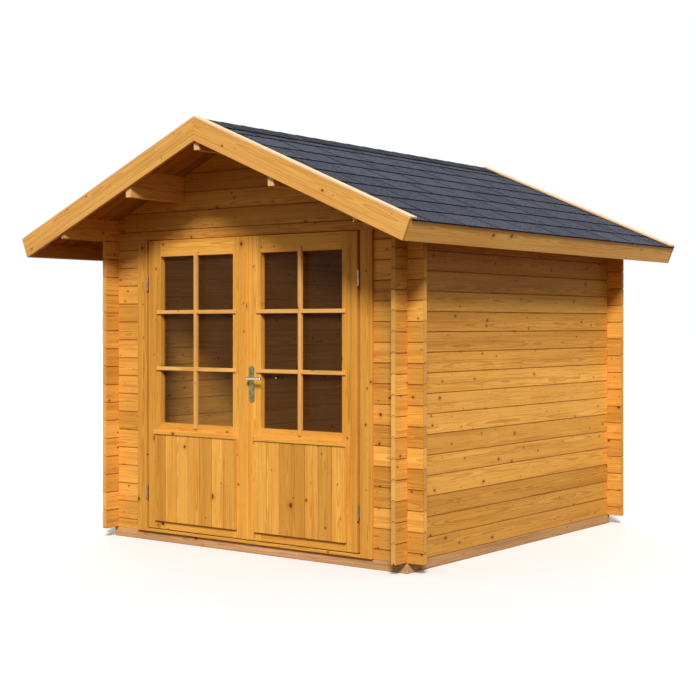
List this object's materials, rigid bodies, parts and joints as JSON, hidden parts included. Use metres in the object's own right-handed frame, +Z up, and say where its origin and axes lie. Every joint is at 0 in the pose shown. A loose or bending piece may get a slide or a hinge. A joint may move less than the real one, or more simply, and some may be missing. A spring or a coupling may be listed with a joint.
{
  "type": "garden shed",
  "caption": "Small log-built garden shed with crossed, notched corner logs, a pitched shingle roof with a deep front overhang and a glazed double door.",
  "frame": {"origin": "on the ground under the middle of the roof's outline", "axes": "+Z up, the doors face -Y, +X to the right as seen from the front"},
  "size_m": [3.0502, 3.139, 2.5568],
  "materials": {
    "log_wood": "honey stained spruce logs, satin",
    "roof_wood": "honey stained spruce boards, satin",
    "door_wood": "honey stained planed spruce, satin",
    "raw_wood": "raw impregnated pine, matt",
    "shingle": "mineral granules on bitumen, matt",
    "door_glass": "clear pane",
    "hinge_steel": "yellow zinc plated steel",
    "handle_nickel": "satin nickel"
  },
  "bodies": {
    "shed": {"front_sill": "raw_wood", "back_sill": "raw_wood", "left_sill": "raw_wood", "right_sill": "raw_wood", "floor_joists": "raw_wood", "floor": "raw_wood", "left_wall": "log_wood", "right_wall": "log_wood", "back_wall": "log_wood", "front_wall_left": "log_wood", "front_wall_right": "log_wood", "door_lintel": "log_wood", "front_gable": "log_wood", "back_gable": "log_wood", "left_wall_plate": "log_wood", "right_wall_plate": "log_wood", "ridge_purlin": "roof_wood", "left_purlin": "roof_wood", "right_purlin": "roof_wood", "left_roof_boards": "roof_wood", "right_roof_boards": "roof_wood", "left_shingles": "shingle", "right_shingles": "shingle", "ridge_covering": "shingle", "front_bargeboards": "roof_wood", "rear_bargeboards": "roof_wood", "front_cap_strips": "roof_wood", "rear_cap_strips": "roof_wood", "left_eaves_board": "roof_wood", "right_eaves_board": "roof_wood", "left_jamb": "door_wood", "right_jamb": "door_wood", "head_stop": "door_wood", "threshold": "door_wood", "jamb_hinge_halves": "hinge_steel"},
    "left_leaf": {"left_leaf_frame": "door_wood", "left_leaf_panel": "door_wood", "left_leaf_glass": "door_glass", "left_leaf_hinge_halves": "hinge_steel"},
    "right_leaf": {"right_leaf_frame": "door_wood", "right_leaf_panel": "door_wood", "right_leaf_glass": "door_glass", "right_leaf_hinge_halves": "hinge_steel", "handle_plates": "handle_nickel"},
    "lever": {"lever_handle": "handle_nickel"}
  },
  "joints": [
    {"name": "left_door_swing", "type": "hinge", "parent": "shed", "child": "left_leaf", "pos_m": [-0.84425, -1.1285, 0.98], "axis": [0, 0, -1], "range_deg": [0, 120]},
    {"name": "right_door_swing", "type": "hinge", "parent": "shed", "child": "right_leaf", "pos_m": [0.84425, -1.1285, 0.98], "axis": [0, 0, 1], "range_deg": [0, 120]},
    {"name": "lever_turn", "type": "hinge", "parent": "right_leaf", "child": "lever", "pos_m": [0.0435, -1.1065, 1.046], "axis": [0, 1, 0], "range_deg": [0, 40], "stiffness_Nm_per_rad": 1.2, "springref_deg": -34.38}
  ]
}
